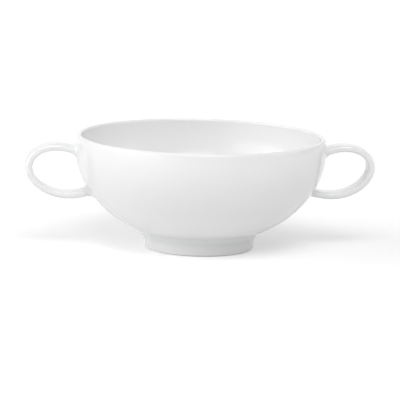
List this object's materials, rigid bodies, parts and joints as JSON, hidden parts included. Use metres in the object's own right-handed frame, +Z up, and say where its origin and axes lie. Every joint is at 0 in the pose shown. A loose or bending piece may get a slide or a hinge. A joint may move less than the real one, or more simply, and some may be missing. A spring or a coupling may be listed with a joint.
{
  "type": "bouillon cup",
  "caption": "Low round soup cup in glazed white porcelain, with a looped strap handle on each side, a rounded lip and a small foot ring. It holds broth to drink or spoon.",
  "frame": {"origin": "on the table, under the middle of the foot ring", "axes": "+Z up through the rim, X through both handles, Y across them"},
  "size_m": [0.159, 0.113, 0.051],
  "materials": {
    "glazed_porcelain": "clear gloss glaze over white porcelain, bare matt ring where it stands"
  },
  "bodies": {
    "root": {"cup": "glazed_porcelain"}
  },
  "joints": []
}
